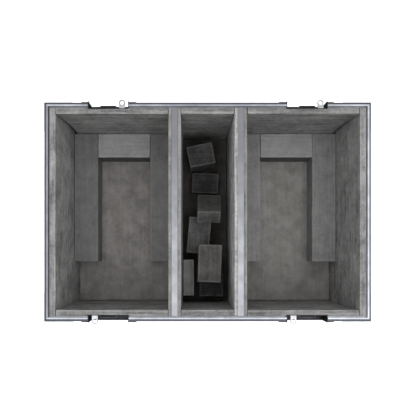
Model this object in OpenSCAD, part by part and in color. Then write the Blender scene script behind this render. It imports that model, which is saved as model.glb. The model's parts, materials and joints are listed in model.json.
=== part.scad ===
// Base of a road case: laminated plywood panels in aluminium edging, a foam lining, two fixed
// dividers, U-shaped sets of foam blocks in the end compartments and loose blocks in the middle one.
// Millimetres. +X runs along the case, +Y to its back and +Z up; the origin is under its middle.

/* [Case body] */
// Length over the edging, along X
body_w = 702; // [660:1:900]
// Depth over the edging, along Y
body_d = 470; // [450:1:640]
// Height from the underside of the edging to the top of the rim
body_h = 257; // [230:1:380]
// Thickness of the laminated plywood panels
panel_t = 7; // [6:0.5:9]
// Height of the rubber feet below the edging
foot_h = 12; // [8:1:25]

/* [Edging] */
// Wall of the aluminium edging
edge_t = 1.7; // [1.2:0.1:2.2]
// Height of the rim's legs
rim_leg = 28; // [22:1:36]
// Width of the rim's sloped outer shoulder
shoulder_w = 4.8; // [3:0.1:5.5]
// Fall of the shoulder towards its outer edge
shoulder_fall = 1.5; // [0.5:0.1:2.5]
// Width of the rim's raised tongue
tongue_w = 4.5; // [3:0.1:6]
// Height of the tongue over the shoulder
tongue_h = 3.5; // [2:0.1:4.5]
// Width of the groove inside the tongue
groove_w = 1.6; // [1:0.1:2.5]
// Width of the ledge over the edge of the foam
ledge_w = 1; // [0.8:0.1:5]
// Leg of the bottom edging and of the corner posts
angle_leg = 30; // [24:1:40]

/* [Corners] */
// Leg of the corner braces at the rim
brace_leg = 60; // [45:1:75]
// Height of the corner braces
brace_h = 42; // [36:1:60]
// Thickness of the pressed steel corners
corner_t = 1.6; // [1:0.1:2.5]
// Radius of the ball corners
ball_r = 15; // [14:0.5:20]
// How far a ball corner stands out of the edging
ball_out = 7; // [4:0.5:7.5]
// Leg of a ball corner's flanges
ball_leg = 46; // [38:1:60]

/* [Latches] */
// Distance of each latch from the middle of the case
latch_x = 213; // [180:1:260]
// Clear width of a latch recess
latch_w = 85; // [70:1:100]
// Clear height of a latch recess below the rim
latch_h = 42; // [36:1:60]
// Depth of a latch recess from the face of the edging
latch_depth = 13; // [12:0.1:14]
// Width of a latch dish over its flanges
latch_flange_w = 118; // [100:1:140]
// Height of a latch dish over its flange
latch_flange_h = 58; // [50:1:80]
// Sheet thickness of the dishes
dish_t = 1.2; // [0.8:0.1:2]
// Thickness of the latch flange over the rim
flange_t = 2.2; // [1:0.1:3]
// Width of the keeper bridge at its foot
keeper_w = 39; // [30:1:44]
// Height of the keeper bridge
keeper_h = 6; // [5:1:30]
// How far the keeper stands off the recess plate
keeper_out = 5.4; // [3:0.1:8]
// Hole of the padlock eye
eye_hole = 8.3; // [6:0.1:10]
// Outer diameter of the padlock eye
eye_d = 13.6; // [11:0.1:18]
// Offset of the padlock eye from the middle of its latch
eye_x = 29; // [27:0.5:33]
// Distance of the hole's axis from the face of the edging, inwards
eye_in = 0.8; // [-3:0.1:3]
// Thickness of the padlock eye
eye_t = 2.5; // [1.5:0.1:4]

/* [Handles] */
// Clear length of a handle recess, along Y
handle_w = 124; // [110:1:150]
// Clear height of a handle recess
handle_h = 84; // [74:1:100]
// Depth of a handle recess from the face of the edging
handle_depth = 16; // [15.8:0.1:18]
// Flange round a handle recess
handle_flange = 16; // [12:1:20]
// Height of a handle recess's middle over the underside of the edging
handle_mid = 132; // [110:1:180]
// Diameter of the handle rod
rod_d = 8; // [6:0.5:9]
// Spacing of the handle's two arms
bail_w = 100; // [84:1:104]
// Drop of the grip below the pivot
bail_drop = 52; // [44:1:56]
// Diameter of the rubber grip
grip_d = 15; // [12:0.5:15.4]
// Length of the rubber grip
grip_len = 80; // [60:1:84]
// Radial clearance of the rod in its pivot sleeves
pivot_gap = 0.06; // [0.02:0.01:0.1]

/* [Foam] */
// Thickness of the wall lining
lining_t = 16.4; // [14:0.1:22]
// Thickness of the floor foam
floor_foam = 15; // [8:1:25]
// Clearance between neighbouring pieces
gap = 0.2; // [0.1:0.05:0.5]

/* [Dividers] */
// Distance of each divider from the middle of the case
divider_x = 71; // [66:0.5:90]
// Thickness of the divider board
divider_t = 9; // [6:0.5:10]
// Thickness of the foam on each side of a divider
divider_foam = 9.4; // [6:0.1:12]
// Wall of the divider's cap
cap_t = 1.6; // [1:0.1:2]
// Height of the divider's cap
cap_h = 18; // [12:1:30]

/* [Fitted blocks] */
// Height of the fitted foam blocks
block_h = 60; // [30:1:90]
// Width of the blocks along the end walls
side_block_w = 59; // [40:1:80]
// Length of the blocks along the end walls and the dividers
side_block_l = 318; // [220:1:330]
// Length of the block along the back wall
back_block_l = 129; // [90:1:150]
// Width of the block along the back wall
back_block_w = 59; // [40:1:80]

/* [Loose blocks] */
// Width of a loose block
loose_w = 56; // [44:1:58]
// Length of a loose block
loose_l = 91; // [70:1:94]
// Thickness of a loose block
loose_t = 60; // [40:1:64]
// Thickness of the narrow loose block
slim_t = 27; // [18:1:30]
// Width of the upright loose block
upright_w = 64; // [50:1:68]
// Depth of the upright and the flat loose blocks
upright_d = 52; // [40:1:54]
// Width of the flat loose block
flat_w = 68; // [50:1:70]
// Width and length of the tilted loose block
tilted_w = 57; // [44:1:60]
// Thickness of the tilted loose block
tilted_t = 41; // [30:1:44]
// Tilt of that block, in degrees
tilted_angle = 37; // [20:1:44]

/* [Fasteners] */
// Shank diameter of the rivets
rivet_d = 4; // [3:0.1:5]
// Head diameter of the rivets
rivet_head = 8.5; // [7:0.1:11]
// Head height of the rivets
rivet_h = 1.5; // [1:0.1:2]
// Depth of a rivet in the panel
rivet_deep = 5; // [3:0.1:5.5]
// Diameter of the rubber feet
foot_d = 38; // [30:1:50]
// Distance of the feet from the edging's outer faces
foot_in = 62; // [55:1:90]
// Shank diameter of the foot screws
screw_d = 5; // [4:0.5:6]

/* [Hidden] */
$fn = 48;

front = 0; // the sides, counted round the case
right = 1;
back = 2;
left = 3;
eps = 1; // how far a cutting tool runs past what it cuts
mitre_gap = gap / 4;

ground_gap = foot_h;                       // underside of the edging
rim_z = foot_h + body_h;                   // top of the rim's tongue
out_x = body_w / 2;                        // outer faces of the edging
out_y = body_d / 2;
shell_t = edge_t + panel_t;                // edging and panel together
in_x = out_x - shell_t;                    // inner faces of the panels
in_y = out_y - shell_t;
floor_z = ground_gap + shell_t;            // top of the bottom panel
pad_z = floor_z + floor_foam;              // top of the floor foam
rim_w = shell_t + edge_t;                  // width of the rim over both legs
groove_at = shoulder_w + tongue_w;         // outer side of the rim's groove
ledge_end = groove_at + groove_w + ledge_w; // inner edge of the rim's ledge
ledge_drop = 6;                            // top of the ledge below the tongue
web_drop = 8;                              // underside of the rim's web below the tongue
panel_top = rim_z - web_drop - gap;
foam_top = rim_z - 1;
lining_in = shell_t + gap + lining_t;      // lining's inner face, in from the edging's face
room_x = out_x - lining_in;                // inner faces of the lining
room_y = out_y - lining_in;
divider_w = divider_t + 2 * divider_foam;  // whole divider
middle_w = 2 * divider_x - divider_w;      // clear width of the middle compartment
end_w = room_x - divider_x - divider_w / 2; // clear width of an end compartment
pivot_in = edge_t + rod_d / 2 + 2.5;       // pivot axis, in from the edging's face
pivot_z = ground_gap + handle_mid + handle_h / 2 - 13;
rod_r = rod_d / 2;
elbow_r = 8;                               // bend of the handle rod at its middle line
sleeve_r = rod_r + 2.4;
sleeve_w = 14;
sleeve_y = bail_w / 2 - elbow_r - sleeve_w / 2 - 3;
spring_wire = 1.6;
spring_turns = 12;
spring_gap = 0.3;
spring_half = spring_turns * spring_wire / 2;
corner_top = rim_z - web_drop + 0.4;       // top of the corner braces, under the rim's shoulder
inner_block_w = end_w - side_block_w - back_block_l - 4 * gap;

// Where the loose blocks lie: X from the middle, Y from the inner face of the front or back lining
upright = [-11.4, room_y - 58.7, 11.5];    // X, Y and turn
flat = [1.1, room_y - 118, -2.5];
low = [-15.4, 166.5 - room_y, -5];
top_block = [9, 97.5 - room_y, -2];
slim = [-middle_w / 2 + slim_t / 2 + 2.4, 60.9 - room_y, 0];
front_block = [15.5, 42 - room_y, 0];
tilted = [8, low[1] + 30, -1];             // X and Y of the tilted block's lower front edge
tilted_lift = loose_t + 13.4;              // height of that edge over the floor foam

latch_spots = [-latch_x, latch_x];
// Rivets along the edging: [side, place along it, height]
rim_rivet_z = rim_z - 18;
low_rivet_z = ground_gap + 18;
post_pitch = (body_h - ball_leg - brace_h - web_drop) / 4;
edging_spots = concat(
  [for (k = [front, back], x = [0, 70, -70, 136, -136]) [k, x, rim_rivet_z]],
  [for (k = [left, right], y = [0, 75, -75, 150, -150]) [k, y, rim_rivet_z]],
  [for (k = [front, back], x = [0, 95, -95, 190, -190, 285, -285]) [k, x, low_rivet_z]],
  [for (k = [left, right], y = [0, 85, -85, 165, -165]) [k, y, low_rivet_z]],
  [for (k = [front, right, back, left], e = [-1, 1], n = [1, 2, 3])
    [k, e * (half_of(k) - angle_leg / 2), ground_gap + ball_leg + n * post_pitch]]
);
brace_spots = [for (k = [front, right, back, left], e = [-1, 1], s = [[15, 18], [47, 18], [15, 40]])
  [k, e * (half_of(k) - s[0]), rim_z - s[1]]];
ball_spots = [for (k = [front, right, back, left], e = [-1, 1])
  [k, e * (half_of(k) - angle_leg / 2), ground_gap + ball_leg - 9]];

function half_of(k) = k % 2 == 0 ? out_x : out_y;
function face_of(k) = k % 2 == 0 ? out_y : out_x;

// Frame of one side: X along it, Y inwards from the edging's face, Z up from the ground
module on_side(k) rotate([0, 0, 90 * k]) translate([0, -face_of(k), 0]) children();

// A profile (X inwards, Y up) carried along the side
module along(len) rotate([90, 0, 90]) linear_extrude(len, center = true) children();

// A block given by its lowest and highest corners
module block(a, b) translate(a) cube(b - a);

// ---- Rivets -------------------------------------------------------------------------------
module rivet(from, to) rotate([-90, 0, 0]) {
  translate([0, 0, from - rivet_h]) cylinder(h = rivet_h, d1 = rivet_head * 0.55, d2 = rivet_head);
  translate([0, 0, from]) cylinder(h = to - from, d = rivet_d);
}

module rivet_holes(spots) for (s = spots) on_side(s[0]) translate([s[1], -20, s[2]])
  rotate([-90, 0, 0]) cylinder(h = 20 + edge_t + rivet_deep + gap, d = rivet_d + 0.1);

function latch_rivet_spots(k) = [for (c = latch_spots, e = [-1, 1], d = [18, 48])
  [k, c + e * (latch_w / 2 + (latch_flange_w - latch_w) / 4), rim_z - d]];

function handle_rivet_spots(k) = [for (e = [-1, 1], f = [-1, 1])
  [k, e * (handle_w + handle_flange) / 2, ground_gap + handle_mid + f * (handle_h + handle_flange) / 2]];

module latch_rivets() color("silver") for (k = [front, back], s = latch_rivet_spots(k))
  on_side(k) translate([s[1], 0, s[2]]) rivet(-flange_t, edge_t + rivet_deep);

module edge_rivets() color("silver") {
  for (s = edging_spots) on_side(s[0]) translate([s[1], 0, s[2]]) rivet(0, edge_t + rivet_deep);
  for (s = concat(brace_spots, ball_spots))
    on_side(s[0]) translate([s[1], 0, s[2]]) rivet(-corner_t, edge_t + rivet_deep);
}

module handle_rivets() color("silver") for (k = [left, right], s = handle_rivet_spots(k))
  on_side(k) translate([s[1], 0, s[2]]) rivet(edge_t - dish_t, edge_t + rivet_deep);

// ---- Panels -------------------------------------------------------------------------------
module bottom_panel() color("#4a4038") difference() {
  block([-in_x, -in_y, ground_gap + edge_t], [in_x, in_y, floor_z]);
  foot_spots() cylinder(h = floor_z - gap, d = screw_d + 0.1);
}

module long_panel(k) color("#1c1c1e") difference() {
  on_side(k) block([-out_x + edge_t, edge_t, ground_gap + edge_t],
    [out_x - edge_t, shell_t, panel_top]);
  on_side(k) for (c = latch_spots) translate([c, 0, rim_z]) latch_recess(dish_t + gap);
  rivet_holes([for (s = edging_spots) if (s[0] == k) s]);
  rivet_holes([for (s = concat(brace_spots, ball_spots)) if (s[0] == k) s]);
  rivet_holes(latch_rivet_spots(k));
}

module end_panel(k) color("#1c1c1e") difference() {
  on_side(k) block([-in_y, edge_t, ground_gap + edge_t], [in_y, shell_t, panel_top]);
  on_side(k) handle_recess(dish_t + gap);
  rivet_holes([for (s = edging_spots) if (s[0] == k) s]);
  rivet_holes([for (s = concat(brace_spots, ball_spots)) if (s[0] == k) s]);
  rivet_holes(handle_rivet_spots(k));
}

module front_panel() long_panel(front);
module back_panel() long_panel(back);
module left_panel() end_panel(left);
module right_panel() end_panel(right);

// ---- Edging -------------------------------------------------------------------------------
// Rim section: legs on both sides of the panel, a sloped shoulder, the tongue, a groove and a ledge
module rim_profile() polygon([
  [0, -rim_leg], [0, -tongue_h - shoulder_fall], [shoulder_w, -tongue_h], [shoulder_w, -0.5],
  [shoulder_w + 0.5, 0], [groove_at - 0.5, 0], [groove_at, -0.5], [groove_at, -ledge_drop],
  [groove_at + groove_w, -ledge_drop], [groove_at + groove_w, -ledge_drop + 1.4],
  [ledge_end, -ledge_drop + 1.4], [ledge_end, -ledge_drop - 0.3], [rim_w, -ledge_drop - 0.3],
  [rim_w, -rim_leg], [shell_t, -rim_leg], [shell_t, -web_drop], [edge_t, -web_drop],
  [edge_t, -rim_leg]
]);

module mitred(k, depth) intersection() {
  children();
  translate([0, 0, -eps]) linear_extrude(rim_z + 2 * eps) polygon([
    [mitre_gap - half_of(k), 0], [half_of(k) - mitre_gap, 0],
    [half_of(k) - mitre_gap - depth, depth], [mitre_gap - half_of(k) + depth, depth]
  ]);
}

module rim(k) color("#b4b6be") difference() {
  on_side(k) mitred(k, ledge_end) translate([0, 0, rim_z]) along(2 * half_of(k)) rim_profile();
  if (k == front || k == back) {
    on_side(k) for (c = latch_spots) translate([c, 0, rim_z])
      block([-latch_w / 2 - dish_t - gap, -eps, -rim_leg - eps],
        [latch_w / 2 + dish_t + gap, ledge_end + eps, eps]);
    rivet_holes(latch_rivet_spots(k));
  }
  rivet_holes([for (s = edging_spots) if (s[0] == k && s[2] == rim_rivet_z) s]);
  rivet_holes([for (s = brace_spots) if (s[0] == k && s[2] == rim_rivet_z) s]);
}

module rim_front() rim(front);
module rim_back() rim(back);
module rim_left() rim(left);
module rim_right() rim(right);

module corner_posts() color("#b4b6be") difference() {
  for (x = [-1, 1], y = [-1, 1]) in_corner(x, y) translate([0, 0, ground_gap + angle_leg + gap])
    linear_extrude(body_h - angle_leg - rim_leg - 2 * gap) difference() {
      translate([out_x - angle_leg, out_y - angle_leg]) square(angle_leg);
      translate([out_x - angle_leg - eps, out_y - angle_leg - eps]) square(angle_leg + eps - edge_t);
    }
  rivet_holes(edging_spots);
  rivet_holes(brace_spots);
  rivet_holes(ball_spots);
}

// A shape drawn at the back right corner, carried to the corner on the sides that x and y name
module in_corner(x, y) mirror([x < 0 ? 1 : 0, 0, 0]) mirror([0, y < 0 ? 1 : 0, 0]) children();

module bottom_edging() color("#b4b6be") difference() {
  for (k = [front, right, back, left]) on_side(k) mitred(k, angle_leg) translate([0, 0, ground_gap])
    along(2 * half_of(k)) polygon([
      [0, 0], [angle_leg, 0], [angle_leg, edge_t], [edge_t, edge_t], [edge_t, angle_leg], [0, angle_leg]
    ]);
  rivet_holes([for (s = edging_spots) if (s[2] == low_rivet_z) s]);
}

module corner_braces() color("#c2c2c6") difference() {
  for (x = [-1, 1], y = [-1, 1]) in_corner(x, y) translate([0, 0, corner_top - brace_h])
    linear_extrude(brace_h) difference() {
      translate([out_x - brace_leg, out_y - brace_leg]) square(brace_leg + corner_t);
      translate([out_x - brace_leg - eps, out_y - brace_leg - eps]) square(brace_leg + eps);
    }
  rivet_holes(brace_spots);
}

module ball_corners() color("#c2c2c6") difference() {
  for (x = [-1, 1], y = [-1, 1]) in_corner(x, y) difference() {
    union() {
      translate([out_x + ball_out - ball_r, out_y + ball_out - ball_r, ground_gap - ball_out + ball_r])
        sphere(ball_r);
      block([out_x - ball_leg, out_y - ball_leg, ground_gap - corner_t],
        [out_x + corner_t, out_y + corner_t, ground_gap + ball_leg]);
    }
    block([0, 0, ground_gap], [out_x, out_y, rim_z]);
  }
  rivet_holes(ball_spots);
}

// ---- Latches ------------------------------------------------------------------------------
// Space of one latch recess, grown by grow; X along the side, Y inwards, Z down from the rim's top
module latch_recess(grow) block([-latch_w / 2 - grow, -eps, -latch_h - grow],
  [latch_w / 2 + grow, latch_depth + grow, 2 * eps]);

module latch_dish(k, c) color("#c9cacd") difference() {
  on_side(k) translate([c, 0, rim_z]) difference() {
    union() {
      block([-latch_flange_w / 2, -flange_t, -latch_flange_h], [latch_flange_w / 2, 0, -web_drop + 0.4]);
      block([-latch_flange_w / 2, -flange_t, -latch_flange_h],
        [latch_flange_w / 2, edge_t, -rim_leg - gap]);
      block([-latch_w / 2 - dish_t, -flange_t, -latch_h - dish_t],
        [latch_w / 2 + dish_t, latch_depth + dish_t, -1.5]);
    }
    block([-latch_w / 2, -flange_t - eps, -latch_h], [latch_w / 2, latch_depth, eps]);
  }
  rivet_holes(latch_rivet_spots(k));
}

module latch_dish_front_left() latch_dish(front, -latch_x);
module latch_dish_front_right() latch_dish(front, latch_x);
module latch_dish_back_left() latch_dish(back, latch_x);
module latch_dish_back_right() latch_dish(back, -latch_x);

// A pressed bridge with slanted ends, standing off the recess plate
module keeper(k, c) color("#55565a") on_side(k) translate([c, latch_depth, rim_z - 2 - keeper_h])
  linear_extrude(keeper_h) polygon([
    [-keeper_w / 2, 0], [-keeper_w / 2 + 3, -keeper_out], [keeper_w / 2 - 3, -keeper_out],
    [keeper_w / 2, 0], [keeper_w / 2 - dish_t - 0.4, 0],
    [keeper_w / 2 - dish_t - 3, -keeper_out + dish_t], [-keeper_w / 2 + dish_t + 3, -keeper_out + dish_t],
    [-keeper_w / 2 + dish_t + 0.4, 0]
  ]);

module keeper_front_left() keeper(front, -latch_x);
module keeper_front_right() keeper(front, latch_x);
module keeper_back_left() keeper(back, latch_x);
module keeper_back_right() keeper(back, -latch_x);

module padlock_eye() difference() {
  union() {
    translate([0, eye_in, 0]) cylinder(h = eye_t, d = eye_d);
    block([-eye_d / 2 + 0.6, eye_in, 0], [eye_d / 2 - 0.6, latch_depth, eye_t]);
    block([-eye_d / 2 + 0.6, latch_depth - 2, -12], [eye_d / 2 - 0.6, latch_depth, eye_t]);
  }
  translate([0, eye_in, -eps]) cylinder(h = eye_t + 2 * eps, d = eye_hole);
}

module padlock_eyes() color("#77787c") for (k = [front, back], c = latch_spots)
  on_side(k) translate([c - eye_x, 0, rim_z - 3 - eye_t]) padlock_eye();

// ---- Handles ------------------------------------------------------------------------------
// Space of one handle recess, grown by grow, in the frame of its side
module handle_recess(grow) translate([0, 0, ground_gap + handle_mid])
  block([-handle_w / 2 - grow, -eps, -handle_h / 2 - grow],
    [handle_w / 2 + grow, handle_depth + grow, handle_h / 2 + grow]);

module handle_dish(k) color("#c9cacd") difference() {
  on_side(k) translate([0, 0, ground_gap + handle_mid]) difference() {
    union() {
      block([-handle_w / 2 - handle_flange, edge_t - dish_t, -handle_h / 2 - handle_flange],
        [handle_w / 2 + handle_flange, edge_t, handle_h / 2 + handle_flange]);
      block([-handle_w / 2 - dish_t, edge_t - dish_t, -handle_h / 2 - dish_t],
        [handle_w / 2 + dish_t, handle_depth + dish_t, handle_h / 2 + dish_t]);
    }
    block([-handle_w / 2, -eps, -handle_h / 2], [handle_w / 2, handle_depth, handle_h / 2]);
  }
  rivet_holes(handle_rivet_spots(k));
}

module handle_dish_left() handle_dish(left);
module handle_dish_right() handle_dish(right);

// Frame of a handle's pivot: X along the rod, Y inwards, Z up from the axis
module at_pivot(k) on_side(k) translate([0, pivot_in, pivot_z]) children();

module rod(len) rotate([0, 90, 0]) cylinder(h = len, r = rod_r, center = true);

// The rod is one closed ring with four round bends
module handle_bail(k) color("#8d8f94") at_pivot(k) {
  rod(bail_w - 2 * elbow_r);
  translate([0, 0, -bail_drop]) rod(bail_w - 2 * elbow_r);
  for (e = [-1, 1]) translate([e * bail_w / 2, 0, -bail_drop + elbow_r])
    cylinder(h = bail_drop - 2 * elbow_r, r = rod_r);
  for (bend = [[1, -elbow_r, 0], [-1, -elbow_r, 90],
      [-1, elbow_r - bail_drop, 180], [1, elbow_r - bail_drop, 270]])
    translate([bend[0] * (bail_w / 2 - elbow_r), 0, bend[1]]) rotate([90, 0, 0]) rotate([0, 0, bend[2]])
      rotate_extrude(angle = 90) translate([elbow_r, 0]) circle(r = rod_r);
}

module handle_bail_left() handle_bail(left);
module handle_bail_right() handle_bail(right);

// A moulded grip with finger ribs
module handle_grip(k) color("#202022") at_pivot(k) translate([0, 0, -bail_drop]) rotate([0, 90, 0])
  rotate_extrude() polygon(concat(
    [[rod_r, -grip_len / 2], [grip_d / 2 - 1.2, -grip_len / 2]],
    [for (i = [0:7], s = [[0.06, 0], [0.5, 0], [0.56, 0.8], [0.94, 0.8]])
      [grip_d / 2 - s[1], -grip_len / 2 + 3 + (grip_len - 6) * (i + s[0]) / 8]],
    [[grip_d / 2 - 1.2, grip_len / 2], [rod_r, grip_len / 2]]
  ));

module handle_grip_left() handle_grip(left);
module handle_grip_right() handle_grip(right);

// Two pivot sleeves a handle, each on a foot against the back of its dish
module handle_sleeves() color("#c9cacd") for (k = [left, right], e = [-1, 1])
  at_pivot(k) translate([e * sleeve_y, 0, 0]) difference() {
    union() {
      rotate([0, 90, 0]) cylinder(h = sleeve_w, r = sleeve_r, center = true);
      block([-sleeve_w / 2, 0, -sleeve_r + 1], [sleeve_w / 2, handle_depth - pivot_in, sleeve_r - 1]);
    }
    rotate([0, 90, 0]) cylinder(h = sleeve_w + 2 * eps, r = rod_r + pivot_gap, center = true);
  }

// Return spring round the rod between the sleeves, its turns joined by a thin skin
module handle_springs() color("#9a9a9e") for (k = [left, right]) at_pivot(k) rotate([0, 90, 0])
  rotate_extrude() polygon(concat(
    [[rod_r + spring_gap, -spring_half], [rod_r + spring_gap, spring_half]],
    [for (i = [spring_turns - 1:-1:0], s = [[0.8, 1], [0.2, 1], [0, 0.4]])
      [rod_r + spring_gap + spring_wire * s[1], -spring_half + spring_wire * (i + s[0])]]
  ));

// ---- Feet ---------------------------------------------------------------------------------
module foot_spots() for (x = [-1, 1], y = [-1, 1])
  translate([x * (out_x - foot_in), y * (out_y - foot_in), 0]) children();

module rubber_feet() color("#1a1a1a") foot_spots() difference() {
  cylinder(h = ground_gap + edge_t, d1 = foot_d - 5, d2 = foot_d);
  translate([0, 0, -eps]) cylinder(h = eps + 6, d = 2.6 * screw_d);
  cylinder(h = ground_gap + edge_t + eps, d = screw_d + 0.3);
}

module foot_screws() color("silver") foot_spots() translate([0, 0, 6]) {
  cylinder(h = floor_z - 7, d = screw_d);
  translate([0, 0, -2.4]) cylinder(h = 2.4, d = 2.1 * screw_d);
}

// ---- Foam lining --------------------------------------------------------------------------
// The rim's legs and ledge with clearance, cut out of the foam behind them
module rim_rebate(k) difference() {
  on_side(k) translate([0, 0, rim_z]) along(2 * half_of(k) + 2) polygon([
    [0, -rim_leg - gap], [rim_w + gap, -rim_leg - gap], [rim_w + gap, -ledge_drop - 0.3 - gap],
    [ledge_end + gap, -ledge_drop - 0.3 - gap], [ledge_end + gap, eps], [0, eps]
  ]);
  if (k == front || k == back) on_side(k) for (c = latch_spots) translate([c, 0, rim_z - rim_leg - 5])
    block([-latch_w / 2, -eps, 0], [latch_w / 2, rim_w * 2, rim_leg + 10]);
}

module long_lining(k) color("#5c5c5c") difference() {
  on_side(k) for (r = [[-room_x + gap, -divider_x - divider_w / 2 - gap],
      [-middle_w / 2 + gap, middle_w / 2 - gap], [divider_x + divider_w / 2 + gap, room_x - gap]])
    block([r[0], shell_t + gap, floor_z + gap], [r[1], lining_in, foam_top]);
  rim_rebate(k);
  on_side(k) for (c = latch_spots) translate([c, 0, rim_z]) latch_recess(dish_t + gap);
}

// The end linings run the whole depth, and the front and back linings butt against them
module end_lining(k) color("#5c5c5c") difference() {
  on_side(k) block([-in_y + gap, shell_t + gap, floor_z + gap], [in_y - gap, lining_in, foam_top]);
  for (n = [front, right, back, left]) rim_rebate(n);
  on_side(k) handle_recess(dish_t + gap);
}

module lining_front() long_lining(front);
module lining_back() long_lining(back);
module lining_left() end_lining(left);
module lining_right() end_lining(right);

module floor_foam_pads() color("#636161") {
  for (e = [-1, 1]) block([e > 0 ? room_x - end_w + gap : -room_x + gap, -room_y + gap, floor_z + gap],
    [e > 0 ? room_x - gap : -room_x + end_w - gap, room_y - gap, pad_z]);
  block([-middle_w / 2 + gap, -room_y + gap, floor_z + gap], [middle_w / 2 - gap, room_y - gap, pad_z]);
}

// ---- Dividers -----------------------------------------------------------------------------
divider_half = out_y - ledge_end - gap; // half length of the divider above the rim's legs
divider_top = foam_top - 0.4;

module divider_board(e) color("#3a332c") translate([e * divider_x, 0, 0])
  block([-divider_t / 2, -divider_half, floor_z + gap], [divider_t / 2, divider_half, divider_top - cap_t]);

module divider_board_left() divider_board(-1);
module divider_board_right() divider_board(1);

module divider_cap(e) color("#babcc2") translate([e * divider_x, 0, divider_top]) difference() {
  block([-divider_t / 2 - cap_t - gap, -divider_half, -cap_h],
    [divider_t / 2 + cap_t + gap, divider_half, 0]);
  block([-divider_t / 2 - gap, -divider_half - eps, -cap_h - eps],
    [divider_t / 2 + gap, divider_half + eps, -cap_t]);
}

module divider_cap_left() divider_cap(-1);
module divider_cap_right() divider_cap(1);

module divider_foam(e) color("#5a5a5a") difference() {
  for (f = [-1, 1]) translate([e * divider_x + f * (divider_t + divider_foam) / 2, 0, 0])
    block([-divider_foam / 2 + gap, -divider_half, floor_z + gap],
      [divider_foam / 2 - gap, divider_half, divider_top]);
  translate([e * divider_x, 0, divider_top - cap_h - gap]) block([-divider_t / 2 - cap_t - 2 * gap,
    -divider_half - eps, 0], [divider_t / 2 + cap_t + 2 * gap, divider_half + eps, cap_h + eps]);
}

module divider_foam_left() divider_foam(-1);
module divider_foam_right() divider_foam(1);

// ---- Fitted blocks ------------------------------------------------------------------------
// Drawn for the right compartment, and mirrored for the left one
module fitted(e) mirror([e < 0 ? 1 : 0, 0, 0]) translate([room_x, room_y, pad_z + gap]) children();

module side_block(e) color("#606060") fitted(e)
  block([-side_block_w, -side_block_l, 0], [-gap, -gap, block_h]);
module back_block(e) color("#787878") fitted(e)
  block([-side_block_w - gap - back_block_l, -back_block_w, 0], [-side_block_w - gap, -gap, block_h]);
module inner_block(e) color("#606060") fitted(e)
  block([-end_w + gap, -side_block_l, 0], [-end_w + gap + inner_block_w, -gap, block_h]);

module side_block_left() side_block(-1);
module side_block_right() side_block(1);
module back_block_left() back_block(-1);
module back_block_right() back_block(1);
module inner_block_left() inner_block(-1);
module inner_block_right() inner_block(1);

// ---- Loose blocks -------------------------------------------------------------------------
module loose(at, lift) translate([at[0], at[1], pad_z + gap + lift]) rotate([0, 0, at[2]]) children();

module loose_box(size) block([-size[0] / 2, -size[1] / 2, 0], [size[0] / 2, size[1] / 2, size[2]]);

module loose_block_upright() color("#3c3c3c") loose(upright, 0)
  loose_box([upright_w, upright_d, loose_l]);
module loose_block_flat() color("#343434") loose(flat, 0) loose_box([flat_w, upright_d, slim_t]);
module loose_block_low() color("#474747") loose(low, 0) loose_box([loose_w, loose_l, loose_t]);
module loose_block_front() color("#202020") loose(front_block, 0)
  loose_box([loose_w + 4, loose_w, loose_t]);
module loose_block_slim() color("#535353") loose(slim, 0) loose_box([slim_t, loose_l - 1, loose_t]);
module loose_block_top() color("#55524f") loose(top_block, loose_t + gap)
  loose_box([loose_w, loose_l - 1, loose_t]);
module loose_block_tilted() color("#404040") loose(tilted, tilted_lift) rotate([-tilted_angle, 0, 0])
  block([-tilted_w / 2, 0, 0], [tilted_w / 2, tilted_w, tilted_t]);

bottom_panel();
front_panel();
back_panel();
left_panel();
right_panel();
rim_front();
rim_back();
rim_left();
rim_right();
corner_posts();
bottom_edging();
corner_braces();
ball_corners();
latch_dish_front_left();
latch_dish_front_right();
latch_dish_back_left();
latch_dish_back_right();
keeper_front_left();
keeper_front_right();
keeper_back_left();
keeper_back_right();
padlock_eyes();
latch_rivets();
edge_rivets();
handle_rivets();
handle_dish_left();
handle_dish_right();
handle_bail_left();
handle_bail_right();
handle_grip_left();
handle_grip_right();
handle_sleeves();
handle_springs();
rubber_feet();
foot_screws();
lining_left();
lining_right();
lining_front();
lining_back();
floor_foam_pads();
divider_board_left();
divider_board_right();
divider_cap_left();
divider_cap_right();
divider_foam_left();
divider_foam_right();
side_block_left();
back_block_left();
inner_block_left();
side_block_right();
back_block_right();
inner_block_right();
loose_block_upright();
loose_block_flat();
loose_block_tilted();
loose_block_low();
loose_block_top();
loose_block_slim();
loose_block_front();
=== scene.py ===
# Open base of a road case: black laminated panels, aluminium edging, grey foam lining and foam blocks.
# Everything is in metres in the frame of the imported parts; sizes written below are millimetres times mm.
import json
import math

import bpy
import numpy as np
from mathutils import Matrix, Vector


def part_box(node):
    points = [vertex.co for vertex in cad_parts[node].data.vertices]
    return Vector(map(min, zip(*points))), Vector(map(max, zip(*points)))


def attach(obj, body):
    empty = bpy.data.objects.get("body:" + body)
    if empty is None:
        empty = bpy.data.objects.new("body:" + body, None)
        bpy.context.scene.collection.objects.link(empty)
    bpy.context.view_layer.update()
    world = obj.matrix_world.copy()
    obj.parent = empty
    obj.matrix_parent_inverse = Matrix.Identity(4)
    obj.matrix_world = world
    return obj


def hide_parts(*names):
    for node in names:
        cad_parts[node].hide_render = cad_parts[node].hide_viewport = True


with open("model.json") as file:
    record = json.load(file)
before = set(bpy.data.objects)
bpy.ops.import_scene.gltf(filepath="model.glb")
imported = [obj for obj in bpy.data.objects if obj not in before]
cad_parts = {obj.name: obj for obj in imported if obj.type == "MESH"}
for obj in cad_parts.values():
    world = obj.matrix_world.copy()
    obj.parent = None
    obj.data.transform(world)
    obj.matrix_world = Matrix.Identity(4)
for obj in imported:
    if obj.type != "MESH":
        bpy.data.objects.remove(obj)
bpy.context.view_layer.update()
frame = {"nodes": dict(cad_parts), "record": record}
print("frame loaded:", len(frame["nodes"]), "nodes")

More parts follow.
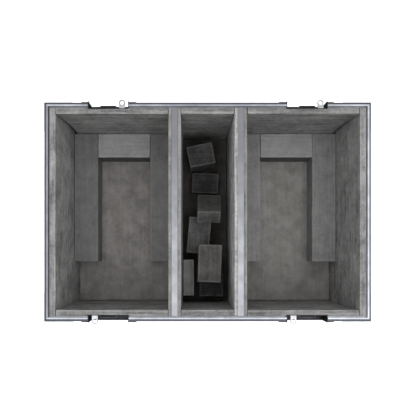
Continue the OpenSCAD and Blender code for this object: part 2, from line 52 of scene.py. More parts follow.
mm = 0.001
nodes = frame["nodes"]
bodyOf = {n: b for b, names in frame["record"]["behaviour"]["bodies"].items() for n in names}


def corners(name):
    low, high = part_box(name)
    return np.array(low), np.array(high)


rimHigh = corners("rim_right")[1]
rimTop = rimHigh[2]
caseHalf = rimHigh[:2]  # half length and half depth over the edging

# Camera, floor and light
camera = {
    "x": -38.8 * mm,  # the viewpoint is straight above this place, a little left of the middle
    "y": -93.6 * mm,
    "above": 1050 * mm,  # over the rim
    "shown": 889.4 * mm,  # width of the view where it meets the rim
    "sideShift": 39.3 * mm,  # how far the framed area's middle lies from the viewpoint
    "backShift": 101.7 * mm,
}


def addCamera():
    data = bpy.data.cameras.new("overhead")
    data.sensor_width = 36
    data.lens = data.sensor_width * camera["above"] / camera["shown"]
    data.shift_x = camera["sideShift"] / camera["shown"]
    data.shift_y = camera["backShift"] / camera["shown"]
    data.clip_end = 50
    thing = bpy.data.objects.new("overhead", data)
    thing.location = (camera["x"], camera["y"], rimTop + camera["above"])
    bpy.context.scene.collection.objects.link(thing)
    bpy.context.scene.camera = thing


addCamera()
print("camera set")


def tone(code, alpha=1.0):
    # An sRGB hex colour as linear values.
    values = [int(code[i : i + 2], 16) / 255 for i in (1, 3, 5)]
    return [v / 12.92 if v <= 0.04045 else ((v + 0.055) / 1.055) ** 2.4 for v in values] + [alpha]


def addNode(tree, kind, inputs=None, **settings):
    # Adds one node, sets it, and fills its inputs from values or from other nodes' sockets.
    node = tree.nodes.new(kind)
    for name, value in settings.items():
        setattr(node, name, value)
    for name, value in (inputs or {}).items():
        if isinstance(value, bpy.types.NodeSocket):
            tree.links.new(value, node.inputs[name])
        else:
            node.inputs[name].default_value = value
    return node


studio = {
    "backdropShown": "#ffffff",  # what the eye sees of the backdrop
    "backdropTrue": "#6f6f6f",  # what it sends back to the case
    "backdropGlow": 0.55,
    "skyGlow": 0.95,
    "skyShown": "#f2f2f2",  # what the eye sees of the sky
}

# Brightness of the sky by height (the sine of the elevation): dim low down, brightest half way up
skyRamp = ((0.12, 0.22), (0.5, 0.92), (0.82, 1.0), (1.0, 0.55))

# Softboxes: power in watts, width, and where each stands; each one faces the case
softboxes = {
    "overheadSoftbox": (14.0, 2.2, (0.3, -1.15, 2.7)),
    "rightSoftbox": (27.0, 2.9, (1.9, -0.1, 2.5)),
    "leftSoftbox": (20.0, 2.9, (-1.5, -0.1, 2.7)),
}


def addBackdrop():
    # White paper to the eye, and a dim floor to the metal and the foam.
    half = 9.0
    mesh = bpy.data.meshes.new("floor")
    mesh.from_pydata(
        [(-half, -half, 0), (half, -half, 0), (half, half, 0), (-half, half, 0)], [], [(0, 1, 2, 3)],
    )
    floor = bpy.data.objects.new("floor", mesh)
    bpy.context.scene.collection.objects.link(floor)
    paper = bpy.data.materials.new("backdropPaper")
    paper.use_nodes = True
    tree = paper.node_tree
    tree.nodes.clear()
    seen = addNode(tree, "ShaderNodeLightPath").outputs["Is Camera Ray"]
    colour = addNode(tree, "ShaderNodeMix", {
        0: seen, 6: tone(studio["backdropTrue"]), 7: tone(studio["backdropShown"]),
    }, data_type="RGBA").outputs[2]
    glow = addNode(tree, "ShaderNodeMath", {
        0: seen, 1: studio["backdropGlow"],
    }, operation="MULTIPLY").outputs[0]
    shader = addNode(tree, "ShaderNodeBsdfPrincipled", {
        "Base Color": colour, "Roughness": 0.9, "Emission Color": tone("#ffffff"), "Emission Strength": glow,
    })
    addNode(tree, "ShaderNodeOutputMaterial", {"Surface": shader.outputs[0]})
    mesh.materials.append(paper)


def addSky():
    world = bpy.data.worlds.new("studio")
    world.use_nodes = True
    tree = world.node_tree
    tree.nodes.clear()
    where = addNode(tree, "ShaderNodeTexCoord").outputs["Generated"]
    up = addNode(tree, "ShaderNodeSeparateXYZ", {0: where}).outputs["Z"]
    level = addNode(tree, "ShaderNodeValToRGB", {"Fac": up})
    while len(level.color_ramp.elements) < len(skyRamp):
        level.color_ramp.elements.new(0.5)
    for element, (height, bright) in zip(level.color_ramp.elements, skyRamp):
        element.position = height
        element.color = (bright, bright, bright, 1)
    lit = addNode(tree, "ShaderNodeMix", {
        0: addNode(
            tree, "ShaderNodeLightPath",
        ).outputs["Is Camera Ray"], 6: level.outputs[0], 7: tone(studio["skyShown"]),
    }, data_type="RGBA").outputs[2]
    back = addNode(tree, "ShaderNodeBackground", {"Color": lit, "Strength": studio["skyGlow"]})
    addNode(tree, "ShaderNodeOutputWorld", {"Surface": back.outputs[0]})
    bpy.context.scene.world = world


def addSoftboxes():
    for name, (power, size, place) in softboxes.items():
        light = bpy.data.lights.new(name, "AREA")
        light.energy = power
        light.size = size
        lamp = bpy.data.objects.new(name, light)
        lamp.location = place
        aim = -np.array(place)
        lamp.rotation_euler = (
            math.acos(-aim[2] / np.linalg.norm(aim)), 0, math.atan2(aim[1], aim[0]) - math.pi / 2,
        )
        bpy.context.scene.collection.objects.link(lamp)


bpy.context.scene.view_settings.view_transform = "Standard"
addBackdrop()
addSky()
addSoftboxes()
print("studio set")

# Materials


def startMaterial(name):
    # A material with its node tree emptied, and Object coordinates ready to use.
    material = bpy.data.materials.new(name)
    material.use_nodes = True
    tree = material.node_tree
    tree.nodes.clear()
    return material, tree, addNode(tree, "ShaderNodeTexCoord").outputs["Object"]


def closeMaterial(tree, inputs):
    shader = addNode(tree, "ShaderNodeBsdfPrincipled", inputs)
    addNode(tree, "ShaderNodeOutputMaterial", {"Surface": shader.outputs[0]})


def closedCellFoam(name, dark, light, along, streaks=0.5, blotches=0.5, flecks=0.2, edge=0.25, seed=0.0):
    # Sliced polyethylene foam, matt and a little dusty: the slicing blade leaves long faint streaks
    # along one axis, and the skin is blotchy. Its cells are about 0.5 mm, drawn at 1.3 mm to show.
    material, tree, where = startMaterial(name)
    place = addNode(tree, "ShaderNodeMapping", {
        "Vector": where, "Location": (seed, seed * 0.7, seed * 1.3),
    }).outputs[0]
    streakLength, streakWidth = 110 * mm, 5.5 * mm
    size = [1 / streakWidth] * 3
    size["xyz".index(along)] = 1 / streakLength
    drawn = addNode(tree, "ShaderNodeMapping", {"Vector": place, "Scale": size}).outputs[0]
    streak = addNode(tree, "ShaderNodeTexNoise", {
        "Vector": drawn, "Scale": 1.0, "Detail": 5.0, "Roughness": 0.66, "Distortion": 0.35,
    })
    blotch = addNode(tree, "ShaderNodeTexNoise", {
        "Vector": place, "Scale": 1 / (38 * mm), "Detail": 5.0, "Roughness": 0.6,
    })
    fleck = addNode(tree, "ShaderNodeTexNoise", {
        "Vector": place, "Scale": 1 / (10 * mm), "Detail": 3.0, "Roughness": 0.6, "Distortion": 0.8,
    })
    grain = addNode(tree, "ShaderNodeTexNoise", {"Vector": place, "Scale": 1 / (2.6 * mm), "Detail": 2.0})
    cells = addNode(tree, "ShaderNodeTexVoronoi", {"Vector": place, "Scale": 1 / (1.3 * mm)})
    worn = addNode(tree, "ShaderNodeAttribute", attribute_name="edgeWear").outputs["Fac"]
    level = None
    for source, low, high, share in (
        (streak.outputs[0], 0.34, 0.66, streaks),
        (blotch.outputs[0], 0.33, 0.67, blotches),
        (fleck.outputs[0], 0.33, 0.67, flecks),
        (grain.outputs[0], 0.25, 0.75, 0.22),
        (cells.outputs["Distance"], 0.1, 0.75, 0.14),
        (worn, 0.0, 1.0, edge),
    ):
        part = addNode(tree, "ShaderNodeMapRange", {
            "Value": source, "From Min": low, "From Max": high, "To Min": -share / 2, "To Max": share / 2,
        }).outputs[0]
        level = part if level is None else addNode(tree, "ShaderNodeMath", {
            0: level, 1: part,
        }, operation="ADD").outputs[0]
    share = addNode(tree, "ShaderNodeMath", {0: level, 1: 0.5}, operation="ADD", use_clamp=True).outputs[0]
    clean = addNode(tree, "ShaderNodeMix", {
        0: share, 6: tone(dark), 7: tone(light),
    }, data_type="RGBA").outputs[2]
    # Painted shade: faces marked in the mesh are drawn towards near black.
    shade = addNode(tree, "ShaderNodeAttribute", attribute_name="paintedFaceShade").outputs["Fac"]
    colour = addNode(tree, "ShaderNodeMix", {
        0: shade, 6: clean, 7: tone("#1e1e1e"),
    }, data_type="RGBA").outputs[2]
    relief = addNode(tree, "ShaderNodeMath", {
        0: streak.outputs[0], 1: grain.outputs[0],
    }, operation="ADD").outputs[0]
    bump = addNode(tree, "ShaderNodeBump", {"Height": relief, "Strength": 0.5, "Distance": 0.5 * mm})
    pits = addNode(tree, "ShaderNodeBump", {
        "Height": cells.outputs["Distance"], "Strength": 0.35, "Distance": 0.25 * mm,
        "Normal": bump.outputs[0],
    })
    closeMaterial(tree, {
        "Base Color": colour, "Roughness": 0.88, "IOR": 1.45, "Specular IOR Level": 0.28,
        "Normal": pits.outputs[0],
    })
    return material


def drawnAluminium(name, base, roughness, along, dull="#9fa2aa", paintedShadeBelow=None, paintedBackShadeFrom=None):
    # Extruded aluminium edging, mill finish: faint die lines run along the bar, and the roughness
    # varies a little where hands and foam have rubbed it. A band of painted shade can lie on the shoulder
    # and in the groove, below the raised tongue, and a painted shade can dim the metal towards the back.
    material, tree, where = startMaterial(name)
    size = [1 / (0.9 * mm)] * 3
    size["xyz".index(along)] = 1 / (180 * mm)
    drawn = addNode(tree, "ShaderNodeMapping", {"Vector": where, "Scale": size}).outputs[0]
    lines = addNode(tree, "ShaderNodeTexNoise", {"Vector": drawn, "Scale": 1.0, "Detail": 3.0})
    smear = addNode(tree, "ShaderNodeTexNoise", {"Vector": where, "Scale": 1 / (26 * mm), "Detail": 4.0})
    share = addNode(tree, "ShaderNodeMapRange", {
        "Value": smear.outputs[0], "From Min": 0.35, "From Max": 0.7,
    }).outputs[0]
    colour = addNode(tree, "ShaderNodeMix", {
        0: share, 6: tone(base), 7: tone(dull),
    }, data_type="RGBA").outputs[2]
    # Painted shade and dark reflection: the shoulder and the groove below the tongue are drawn dark.
    if paintedShadeBelow is not None:
        height = addNode(tree, "ShaderNodeSeparateXYZ", {0: where}).outputs["Z"]
        upper = addNode(tree, "ShaderNodeMapRange", {
            "Value": height, "From Min": paintedShadeBelow - 0.6 * mm, "From Max": paintedShadeBelow,
            "To Min": 1.0, "To Max": 0.0,
        }).outputs[0]
        lower = addNode(tree, "ShaderNodeMapRange", {
            "Value": height, "From Min": paintedShadeBelow - 4.6 * mm, "From Max": paintedShadeBelow - 2.8 * mm,
        }).outputs[0]
        paintedBand = addNode(tree, "ShaderNodeMath", {0: upper, 1: lower}, operation="MULTIPLY").outputs[0]
        colour = addNode(tree, "ShaderNodeMix", {
            0: paintedBand, 6: colour, 7: tone("#55585f"),
        }, data_type="RGBA").outputs[2]
    # Painted shade: darker towards the back, standing in for a dimmer reflection there.
    if paintedBackShadeFrom is not None:
        deep = addNode(tree, "ShaderNodeSeparateXYZ", {0: where}).outputs["Y"]
        backShade = addNode(tree, "ShaderNodeMapRange", {
            "Value": deep, "From Min": paintedBackShadeFrom - 60 * mm, "From Max": paintedBackShadeFrom + 140 * mm, "To Max": 0.8,
        }).outputs[0]
        colour = addNode(tree, "ShaderNodeMix", {
            0: backShade, 6: colour, 7: tone("#7d7f84"),
        }, data_type="RGBA").outputs[2]
    rough = addNode(tree, "ShaderNodeMapRange", {
        "Value": lines.outputs[0], "To Min": roughness - 0.08, "To Max": roughness + 0.1,
    }).outputs[0]
    bump = addNode(tree, "ShaderNodeBump", {
        "Height": lines.outputs[0], "Strength": 0.2, "Distance": 0.05 * mm,
    })
    closeMaterial(tree, {
        "Base Color": colour, "Metallic": 1.0, "Roughness": rough, "Normal": bump.outputs[0],
    })
    return material


def zincPlatedSteel(name, base, shade, roughness, spot=9 * mm):
    # Pressed steel with bright zinc plate: cloudy patches a few millimetres wide, and fine rub marks.
    material, tree, where = startMaterial(name)
    cloud = addNode(tree, "ShaderNodeTexNoise", {
        "Vector": where, "Scale": 1 / spot, "Detail": 5.0, "Roughness": 0.65,
    })
    rubs = addNode(tree, "ShaderNodeTexNoise", {"Vector": where, "Scale": 1 / (1.1 * mm), "Detail": 2.0})
    share = addNode(tree, "ShaderNodeMapRange", {
        "Value": cloud.outputs[0], "From Min": 0.3, "From Max": 0.7,
    }).outputs[0]
    colour = addNode(tree, "ShaderNodeMix", {
        0: share, 6: tone(base), 7: tone(shade),
    }, data_type="RGBA").outputs[2]
    rough = addNode(tree, "ShaderNodeMapRange", {
        "Value": cloud.outputs[0], "To Min": roughness - 0.1, "To Max": roughness + 0.12,
    }).outputs[0]
    bump = addNode(tree, "ShaderNodeBump", {
        "Height": rubs.outputs[0], "Strength": 0.12, "Distance": 0.05 * mm,
    })
    closeMaterial(tree, {
        "Base Color": colour, "Metallic": 1.0, "Roughness": rough, "Normal": bump.outputs[0],
    })
    return material


def phenolicLaminate(name):
    # Black phenolic film pressed on plywood: a fine pebbled skin, grains about 1.5 mm, with grey
    # scuffs where the case has been dragged.
    material, tree, where = startMaterial(name)
    pebbles = addNode(tree, "ShaderNodeTexVoronoi", {
        "Vector": where, "Scale": 1 / (1.6 * mm),
    }, feature="SMOOTH_F1")
    haze = addNode(tree, "ShaderNodeTexNoise", {
        "Vector": where, "Scale": 1 / (55 * mm), "Detail": 6.0, "Roughness": 0.7,
    })
    drawn = addNode(tree, "ShaderNodeMapping", {
        "Vector": where, "Scale": (14, 14, 260), "Rotation": (0.2, 0.15, 0),
    })
    scuffs = addNode(tree, "ShaderNodeTexNoise", {"Vector": drawn.outputs[0], "Scale": 1.0, "Detail": 5.0})
    mark = addNode(tree, "ShaderNodeMapRange", {
        "Value": scuffs.outputs[0], "From Min": 0.64, "From Max": 0.78,
    }).outputs[0]
    soft = addNode(tree, "ShaderNodeMapRange", {
        "Value": haze.outputs[0], "From Min": 0.3, "From Max": 0.7,
    }).outputs[0]
    skin = addNode(tree, "ShaderNodeMix", {
        0: soft, 6: tone("#161617"), 7: tone("#222224"),
    }, data_type="RGBA").outputs[2]
    colour = addNode(tree, "ShaderNodeMix", {
        0: mark, 6: skin, 7: tone("#4a4a4c"),
    }, data_type="RGBA").outputs[2]
    rough = addNode(tree, "ShaderNodeMapRange", {
        "Value": haze.outputs[0], "To Min": 0.36, "To Max": 0.56,
    }).outputs[0]
    bump = addNode(tree, "ShaderNodeBump", {
        "Height": pebbles.outputs["Distance"], "Strength": 0.5, "Distance": 0.2 * mm,
    })
    closeMaterial(tree, {"Base Color": colour, "Roughness": rough, "IOR": 1.5, "Normal": bump.outputs[0]})
    return material


def birchPly(name):
    # Raw plywood: brown birch with long grain.
    material, tree, where = startMaterial(name)
    drawn = addNode(tree, "ShaderNodeMapping", {"Vector": where, "Scale": (900, 9, 60)}).outputs[0]
    grain = addNode(tree, "ShaderNodeTexNoise", {"Vector": drawn, "Scale": 1.0, "Detail": 5.0})
    colour = addNode(tree, "ShaderNodeMix", {
        0: grain.outputs[0], 6: tone("#5b4631"), 7: tone("#9a7d58"),
    }, data_type="RGBA").outputs[2]
    closeMaterial(tree, {"Base Color": colour, "Roughness": 0.7})
    return material


def mouldedRubber(name, dark, light):
    # Moulded black rubber: matt, faintly grained, with dust in the low places.
    material, tree, where = startMaterial(name)
    grain = addNode(tree, "ShaderNodeTexNoise", {"Vector": where, "Scale": 1 / (0.9 * mm), "Detail": 3.0})
    dust = addNode(tree, "ShaderNodeTexNoise", {"Vector": where, "Scale": 1 / (18 * mm), "Detail": 5.0})
    share = addNode(tree, "ShaderNodeMapRange", {
        "Value": dust.outputs[0], "From Min": 0.4, "From Max": 0.75,
    }).outputs[0]
    colour = addNode(tree, "ShaderNodeMix", {
        0: share, 6: tone(dark), 7: tone(light),
    }, data_type="RGBA").outputs[2]
    bump = addNode(tree, "ShaderNodeBump", {
        "Height": grain.outputs[0], "Strength": 0.4, "Distance": 0.12 * mm,
    })
    closeMaterial(tree, {"Base Color": colour, "Roughness": 0.72, "IOR": 1.52, "Normal": bump.outputs[0]})
    return material


foamX = closedCellFoam("slicedFoamAlong", "#5b5b5b", "#a8a7a6", "x", streaks=0.62, blotches=0.35, flecks=0.3)
foamY = closedCellFoam(
    "slicedFoamAcross", "#616161", "#b0afae", "y", streaks=0.45, blotches=0.42, flecks=0.3, seed=3.0,
)
floorFoamLeft = closedCellFoam(
    "floorFoamLeft", "#74716f", "#a19e9b", "y", streaks=0.25, blotches=0.6, seed=7.0,
)
# Painted shade: the middle floor pad is a darker copy of the floor foam, for the narrow compartment and the
# gaps round the blocks.
shadedFloorFoamMiddle = closedCellFoam(
    "shadedFloorFoamMiddle", "#3c3a38", "#5f5c59", "y", streaks=0.25, blotches=0.6, seed=9.0,
)
floorFoamRight = closedCellFoam(
    "floorFoamRight", "#7c7a77", "#a8a5a2", "y", streaks=0.25, blotches=0.6, seed=8.0,
)
sideFoamLeft = closedCellFoam(
    "sideFoamLeft", "#5b5b5b", "#868686", "y", streaks=0.22, blotches=0.3, flecks=0.2, seed=11.0,
)
sideFoamRight = closedCellFoam(
    "sideFoamRight", "#6a6a6a", "#9b9b9b", "y", streaks=0.22, blotches=0.35, flecks=0.2, seed=12.0,
)
backFoam = closedCellFoam(
    "backBlockFoam", "#7e7e7e", "#acacac", "x", streaks=0.25, blotches=0.35, flecks=0.2, seed=13.0,
)
offcutFoam = closedCellFoam(
    "offcutFoam", "#585858", "#92918f", "y", streaks=0.3, blotches=0.4, flecks=0.2, edge=0.7, seed=17.0,
)
paleOffcutFoam = closedCellFoam(
    "paleOffcutFoam", "#575757", "#8f8e8d", "y", streaks=0.3, blotches=0.4, flecks=0.2, edge=0.6, seed=18.0,
)
darkOffcutFoam = closedCellFoam(
    "darkOffcutFoam", "#3a3a3a", "#737373", "x", streaks=0.3, blotches=0.4, flecks=0.2, edge=0.8, seed=19.0,
)
brownOffcutFoam = closedCellFoam(
    "brownOffcutFoam", "#4d4b49", "#84817e", "y",
    streaks=0.3, blotches=0.35, flecks=0.15, edge=0.6, seed=23.0,
)
slimOffcutFoam = closedCellFoam(
    "slimOffcutFoam", "#808080", "#bab9b8", "y", streaks=0.3, blotches=0.4, flecks=0.2, seed=24.0,
)
# Painted light: a paler copy of the divider foam, for the right divider's face towards the middle
# compartment.
litDividerFoam = closedCellFoam(
    "litDividerFoam", "#7d7d7d", "#dbdad9", "y", streaks=0.65, blotches=0.4, flecks=0.5, seed=31.0,
)
rimMetalX = drawnAluminium("edgingAluminiumAlong", "#bfc2ca", 0.34, "x", paintedShadeBelow=rimTop - 1.6 * mm)
rimMetalY = drawnAluminium("edgingAluminiumAcross", "#bfc2ca", 0.34, "y", paintedShadeBelow=rimTop - 1.6 * mm)
postMetal = drawnAluminium("edgingAluminiumUpright", "#c4c7cd", 0.36, "z")
# Painted shade: the caps are drawn darker towards the back, for their dimmer reflection there.
capMetal = drawnAluminium("capAluminium", "#adafb4", 0.42, "y", dull="#94969b", paintedBackShadeFrom=0.0)
# Painted shade: the left edging is a darker copy of the edging metal, for the dimmer reflection it shows.
shadedLeftRimMetal = drawnAluminium(
    "shadedEdgingAluminium", "#95989f", 0.4, "y", dull="#83868d", paintedShadeBelow=rimTop - 1.6 * mm,
)
pressedSteel = zincPlatedSteel("zincPlatedSteel", "#c8c9cc", "#a2a3a6", 0.32)
darkSteel = zincPlatedSteel("keeperSteel", "#5c5d60", "#3c3d41", 0.38)
dishSteel = zincPlatedSteel("darkenedDishSteel", "#38393c", "#26272a", 0.42)
eyeSteel = zincPlatedSteel("padlockEyeSteel", "#c4c5c9", "#9b9ca0", 0.3)
rodSteel = zincPlatedSteel("handleRodSteel", "#b8b9bd", "#93949a", 0.3, spot=14 * mm)
rivetSteel = zincPlatedSteel("rivetSteel", "#cfcfd1", "#aaaaad", 0.3, spot=4 * mm)
laminate = phenolicLaminate("blackPhenolicLaminate")
plywood = birchPly("birchPlywood")
gripRubber = mouldedRubber("gripRubber", "#131313", "#2a2a2a")
footRubber = mouldedRubber("footRubber", "#101010", "#262626")

finishes = {
    "front_panel back_panel left_panel right_panel bottom_panel": laminate,
    "divider_board_left divider_board_right": plywood,
    "rim_front rim_back bottom_edging": rimMetalX,
    "rim_left": shadedLeftRimMetal,
    "rim_right": rimMetalY,
    "corner_posts": postMetal,
    "divider_cap_left divider_cap_right": capMetal,
    "corner_braces ball_corners handle_sleeves handle_dish_left handle_dish_right": pressedSteel,
    "latch_dish_front_left latch_dish_front_right latch_dish_back_left latch_dish_back_right": dishSteel,
    "keeper_front_left keeper_front_right keeper_back_left keeper_back_right": darkSteel,
    "padlock_eyes": eyeSteel,
    "handle_bail_left handle_bail_right": rodSteel,
    "latch_rivets edge_rivets handle_rivets foot_screws handle_springs": rivetSteel,
    "handle_grip_left handle_grip_right": gripRubber,
    "rubber_feet": footRubber,
}


def paintFrame():
    for names, material in finishes.items():
        for name in names.split():
            for slot in nodes[name].material_slots:
                slot.material = material


paintFrame()
print("frame painted")

# Foam
foam = {
    "step": 4.0 * mm,  # spacing of the surface grid
    "edge": 1.3 * mm,  # radius that a blade leaves on a cut edge
    "uneven": 0.45 * mm,  # how far a cut face wanders, always inwards
    "wearWidth": 5.0 * mm,  # width of the paler worn edge
    "nick": 0.8 * mm,  # depth of the small nicks along an edge
    "gap": 0.3 * mm,  # room left between neighbouring pieces
}


def ripple(points, length, seed, waves=9):
    # Smooth seeded unevenness between -1 and 1: the mean of sine waves in random directions, with
    # wavelengths round the given length.
    chance = np.random.default_rng(seed)
    ways = chance.normal(size=(waves, 3))
    ways /= np.linalg.norm(ways, axis=1)[:, None]
    counts = 2 * math.pi / (length * chance.uniform(0.7, 1.6, waves))
    turns = points @ (ways * counts[:, None]).T + chance.uniform(0, 2 * math.pi, waves)
    return np.clip(np.sin(turns).mean(axis=1) * 2.2, -1, 1)


def gridLines(low, high, edge, step):
    # Places of the grid lines between two faces: close together over the rounded edges, even between.
    rounded = edge * np.array([0.0, 0.25, 0.6, 1.0])
    middle = np.linspace(low + edge, high - edge, max(2, int(round((high - low - 2 * edge) / step)) + 1))
    return np.concatenate([low + rounded[:-1], middle, (high - rounded[:-1])[::-1]])


def boxSurface(low, high, edge, step):
    # The six faces of a box as joined grids, with its edges rounded: each point of the cube's surface
    # is drawn in to the box that is smaller by the edge radius, then set out again by that radius.
    lines = [gridLines(low[a], high[a], edge, step) for a in range(3)]
    points, quads = [], []
    start = 0
    for axis in range(3):
        u, v = (axis + 1) % 3, (axis + 2) % 3
        for side in (0, 1):
            first, second = np.meshgrid(lines[u], lines[v], indexing="ij")
            face = np.empty(first.shape + (3,))
            face[..., u], face[..., v] = first, second
            face[..., axis] = (low, high)[side][axis]
            index = start + np.arange(first.size).reshape(first.shape)
            ring = [index[:-1, :-1], index[1:, :-1], index[1:, 1:], index[:-1, 1:]]
            quads.append(np.stack(ring if side else ring[::-1], axis=-1).reshape(-1, 4))
            points.append(face.reshape(-1, 3))
            start += first.size
    points, quads = np.concatenate(points), np.concatenate(quads)
    _, first, back = np.unique(
        np.round(points / (0.001 * mm)).astype(np.int64), axis=0, return_index=True, return_inverse=True,
    )
    points, quads = points[first], back.reshape(-1)[quads]
    inner = np.clip(points, low + edge, high - edge)
    away = points - inner
    reach = np.linalg.norm(away, axis=1)[:, None]
    outward = away / np.maximum(reach, 1e-9)
    return inner + outward * edge, quads, outward


def edgeWear(points, low, high):
    # How near a point is to an edge of the box: 1 on the edge, falling to 0 over the worn width.
    depth = np.minimum(points - low, high - points)
    second = np.sort(depth, axis=1)[:, 1]
    return np.clip(1 - second / foam["wearWidth"], 0, 1) ** 1.5


def makeMesh(name, points, quads, values):
    mesh = bpy.data.meshes.new(name)
    mesh.from_pydata(points.tolist(), [], quads.tolist())
    mesh.polygons.foreach_set("use_smooth", [True] * len(mesh.polygons))
    for key, value in values.items():
        mesh.attributes.new(key, "FLOAT", "POINT").data.foreach_set("value", value.astype(np.float32))
    mesh.update()
    thing = bpy.data.objects.new(name, mesh)
    bpy.context.scene.collection.objects.link(thing)
    return thing


def turned(points, degrees, axis="z"):
    # Points turned about an axis through the origin.
    a = math.radians(degrees)
    c, s = math.cos(a), math.sin(a)
    matrix = {
        "x": [[1, 0, 0], [0, c, -s], [0, s, c]],
        "z": [[c, -s, 0], [s, c, 0], [0, 0, 1]],
    }[axis]
    return points @ np.array(matrix).T


def foamPiece(name, low, high, material, seed, stands, uneven=1.0, carve=None, place=None,
              edge=None, dark=None):
    # A slab or block of foam: a rounded box whose faces wander a little inwards, optionally carved
    # where hardware presses into it, then put in its place.
    low, high = np.array(low, float), np.array(high, float)
    points, quads, outward = boxSurface(low, high, edge or foam["edge"], foam["step"])
    wear = edgeWear(points, low, high)
    slow = 0.5 + 0.5 * ripple(points, 95 * mm, seed)
    quick = 0.5 + 0.5 * ripple(points, 17 * mm, seed + 1)
    nick = np.clip(ripple(points, 9 * mm, seed + 2) - 0.35, 0, 1) * wear
    shade = dark(outward) if dark else np.zeros(len(points))
    sunk = foam["uneven"] * uneven * (0.7 * slow + 0.3 * quick) + foam["nick"] * nick
    points = points - outward * sunk[:, None]
    if carve is not None:
        points = carve(points)
    if place is not None:
        points = place(points)
    thing = makeMesh(name, points, quads, {"edgeWear": wear, "paintedFaceShade": shade})
    thing.data.materials.append(material)
    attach(thing, bodyOf[stands])
    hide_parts(stands)
    return thing


hidden = {
    "legDrop": 28.4 * mm,  # bottom of the rim's legs below its top, with clearance
    "leg": 10.9 * mm,  # inner face of the rim's leg, in from the edging's face, with clearance
    "ledgeDrop": 6.7 * mm,  # underside of the rim's ledge below its top, with clearance
    "dishHalf": 44.2 * mm,  # half width of a latch dish, with clearance
    "dishDrop": 43.8 * mm,  # bottom of a latch dish below the rim's top, with clearance
    "flange": 14 * mm,
    "clear": 0.3 * mm,
}
ledgeIn = caseHalf[1] - abs(corners("rim_front")[1][1]) + hidden["clear"]
padTop = corners("floor_foam_pads")[1][2]


def behindRim(down):
    # How far in from the edging's face the rim's legs and ledge reach, at each depth below its top.
    limit = np.where(down < hidden["legDrop"], hidden["leg"], 0.0)
    return np.where(down < hidden["ledgeDrop"], ledgeIn, limit)


def lipShade(outward):
    # Painted shade: the sawn top faces are drawn a little darker than the walls.
    return 0.05 * np.clip(outward[:, 2], 0, 1)


def dividerLipShade(outward):
    # The divider's lips are a little darker than the others.
    return 0.2 * np.clip(outward[:, 2], 0, 1)


def longLiningCarve(sign, dishes, gapEnd=0.0, gapWidth=0.0):
    # Presses the hidden face of a front or back lining in behind the rim and the latch dishes, and
    # lets the end that meets an end wall stand off it, most at half height, where the foam has shrunk.

    def carve(points):
        points = points.copy()
        inwards = caseHalf[1] - sign * points[:, 1]
        down = rimTop - points[:, 2]
        limit = behindRim(down)
        for dish in dishes:
            low, high = corners(dish)
            depth = caseHalf[1] - min(abs(low[1]), abs(high[1])) + hidden["clear"]
            near = np.abs(points[:, 0] - (low[0] + high[0]) / 2) < hidden["dishHalf"]
            limit = np.where(near & (down < hidden["dishDrop"]), depth, limit)
        points[:, 1] = sign * (caseHalf[1] - np.maximum(inwards, limit))
        height = np.clip((points[:, 2] - padTop) / (rimTop - padTop), 0, 1)
        near = np.clip(1 - np.abs(points[:, 0] - gapEnd) / (45 * mm), 0, 1)
        points[:, 0] -= np.sign(gapEnd) * gapWidth * np.sin(math.pi * height) ** 1.3 * near
        return points

    return carve


def endLiningCarve(sign, dish):
    # Presses the hidden face of an end lining in behind the rim and the handle dish, and its ends in
    # behind the front and back rims.
    low, high = corners(dish)
    depth = caseHalf[0] - min(abs(low[0]), abs(high[0])) + hidden["clear"]

    def carve(points):
        points = points.copy()
        inwards = caseHalf[0] - sign * points[:, 0]
        limit = behindRim(rimTop - points[:, 2])
        behind = (
            (np.abs(points[:, 1]) < high[1] - hidden["flange"])
            & (points[:, 2] > low[2] + hidden["flange"])
            & (points[:, 2] < high[2] - hidden["flange"])
        )
        limit = np.where(behind, depth, limit)
        points[:, 0] = sign * (caseHalf[0] - np.maximum(inwards, limit))
        ends = caseHalf[1] - behindRim(rimTop - points[:, 2])
        points[:, 1] = np.clip(points[:, 1], -ends, ends)
        return points

    return carve


# How far the end of each lining has shrunk from the end wall beside it
cornerGaps = {
    "lining_front_left": 1.5 * mm,
    "lining_front_right": 8.0 * mm,
    "lining_back_left": 9.5 * mm,
    "lining_back_right": 10.0 * mm,
}


def addLinings():
    leftFoam, rightFoam = corners("divider_foam_left"), corners("divider_foam_right")
    gap = foam["gap"]
    for k, (node, sign) in enumerate((("lining_front", -1), ("lining_back", 1))):
        low, high = corners(node)
        side = node.split("_")[1]
        dishes = ["latch_dish_" + side + "_left", "latch_dish_" + side + "_right"]
        spans = (
            ("left", low[0], leftFoam[0][0] - gap, low[0]),
            ("middle", leftFoam[1][0] + gap, rightFoam[0][0] - gap, 0.0),
            ("right", rightFoam[1][0] + gap, high[0], high[0]),
        )
        for n, (part, x0, x1, gapEnd) in enumerate(spans):
            width = cornerGaps.get(node + "_" + part, 0.0)
            foamPiece(
                node + "_foam_" + part, (x0, low[1], low[2]), (x1, high[1], high[2]), foamX,
                100 + 10 * k + n, node, carve=longLiningCarve(sign, dishes, gapEnd, width),
                uneven=2.4, dark=lipShade,
            )
    for k, (node, sign, dish) in enumerate((
        ("lining_left", -1, "handle_dish_left"),
        ("lining_right", 1, "handle_dish_right"),
    )):
        low, high = corners(node)
        foamPiece(
            node + "_foam", low, high, foamY, 130 + k, node, carve=endLiningCarve(sign, dish),
            uneven=2.4, dark=lipShade,
        )


def addFloorPads():
    low, high = corners("floor_foam_pads")
    leftFoam, rightFoam = corners("divider_foam_left"), corners("divider_foam_right")
    gap = foam["gap"]
    for n, (part, x0, x1, material) in enumerate((
        ("left", low[0], leftFoam[0][0] - gap, floorFoamLeft),
        ("middle", leftFoam[1][0] + gap, rightFoam[0][0] - gap, shadedFloorFoamMiddle),
        ("right", rightFoam[1][0] + gap, high[0], floorFoamRight),
    )):
        foamPiece(
            "floor_foam_" + part, (x0, low[1], low[2]), (x1, high[1], high[2]),
            material, 150 + n, "floor_foam_pads",
        )


# How far the inner face of each divider leans towards +X at the floor
dividerLean = {"left": 2.0 * mm, "right": 1.5 * mm}


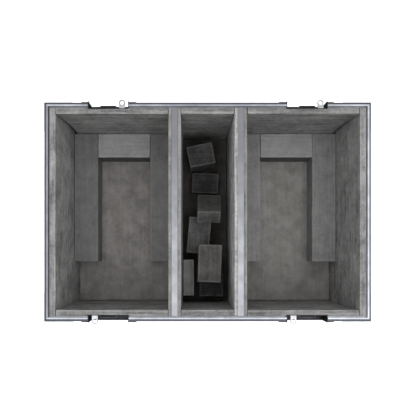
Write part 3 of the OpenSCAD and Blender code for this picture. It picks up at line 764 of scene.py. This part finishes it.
def addDividerFoam():
    clear = foam["gap"]
    for k, side in enumerate(("left", "right")):
        low, high = corners("divider_foam_" + side)
        boardLow, boardHigh = corners("divider_board_" + side)
        capLow, capHigh = corners("divider_cap_" + side)
        inner = 1 if side == "left" else -1  # the way to the middle compartment

        def carve(points, middle=(low[0] + high[0]) / 2, cap=(capHigh[0] - capLow[0]) / 2, under=capLow[2],
                  inner=inner, lean=dividerLean[side],
                  reach=(high[0] - low[0]) / 2, board=boardHigh[0] - boardLow[0]):
            # Presses the foam in where the cap's legs overlap it, and leans the inner face.
            points = points.copy()
            off = points[:, 0] - middle
            outer = np.clip((off * inner - board / 2) / (reach - board / 2), 0, 1)
            height = np.clip((points[:, 2] - padTop) / (rimTop - padTop), 0, 1)
            points[:, 0] += lean * outer * (1 - height)
            inside = (points[:, 2] > under - clear) & (np.abs(off) < cap + clear)
            points[:, 0] = np.where(inside, middle + np.sign(off) * (cap + clear), points[:, 0])
            return points

        for n, (part, x0, x1) in enumerate((
            ("low", low[0], boardLow[0] - clear),
            ("high", boardHigh[0] + clear, high[0]),
        )):
            # The right divider's low piece takes the paler copy: painted light on the middle compartment's
            # right wall.
            foamPiece(
                "divider_foam_" + side + "_" + part, (x0, low[1], low[2]), (x1, high[1], high[2]),
                litDividerFoam if (side, part) == ("right", "low") else foamY, 170 + 4 * k + n,
                "divider_foam_" + side, carve=carve, uneven=1.4, dark=dividerLipShade,
            )


fittedFoam = {
    "side_block": {"left": sideFoamLeft, "right": sideFoamRight},
    "inner_block": {"left": sideFoamLeft, "right": sideFoamRight},
    "back_block": {"left": backFoam, "right": backFoam},
}


def wellShade(outward):
    # The faces round the well look nearly black.
    return 0.72 * np.clip(1 - np.abs(outward[:, 2]) * 3, 0, 1)


def addFittedBlocks():
    for k, side in enumerate(("left", "right")):
        for n, (kind, materials) in enumerate(fittedFoam.items()):
            node = kind + "_" + side
            low, high = corners(node)
            foamPiece(
                node + "_foam", low, high, materials[side], 200 + 10 * k + n, node, uneven=1.5,
                dark=wellShade if kind == "back_block" else None,
            )


# Loose blocks: the turn and the tilt that each lies at, its size across and along, and its foam
looseBlocks = {
    "upright": (11.5, 0, 64, 52, darkOffcutFoam),
    "flat": (-2.5, 0, 68, 52, darkOffcutFoam),
    "tilted": (-1, -37, 57, 57, offcutFoam),
    "low": (-5, 0, 56, 91, paleOffcutFoam),
    "top": (-2, 0, 56, 90, brownOffcutFoam),
    "slim": (0, 0, 27, 90, slimOffcutFoam),
    "front": (0, 0, 60, 56, darkOffcutFoam),
}


def tiltedTopShade(outward):
    # Painted shade: the top face of the tilted block is drawn darker than its others.
    return 0.5 * np.clip(outward[:, 2], 0, 1)


def addLooseBlocks():
    for n, (kind, (turn, tilt, width, length, material)) in enumerate(looseBlocks.items()):
        node = "loose_block_" + kind
        low, high = corners(node)
        middle = (low + high) / 2
        height = high[2] - low[2]
        if tilt:  # the box that holds a tilted block is taller than the block
            a = math.radians(-tilt)
            height = (height - length * mm * math.sin(a)) / math.cos(a)
        half = np.array([width * mm, length * mm, height]) / 2

        def place(points, tilt=tilt, turn=turn, middle=middle):
            return turned(turned(points, tilt, "x"), turn) + middle

        foamPiece(
            node + "_foam", -half, half, material, 300 + n, node, place=place, uneven=1.6, edge=1.8 * mm,
            dark=tiltedTopShade if kind == "tilted" else None,
        )


addLinings()
addFloorPads()
addDividerFoam()
addFittedBlocks()
addLooseBlocks()
print("foam made")
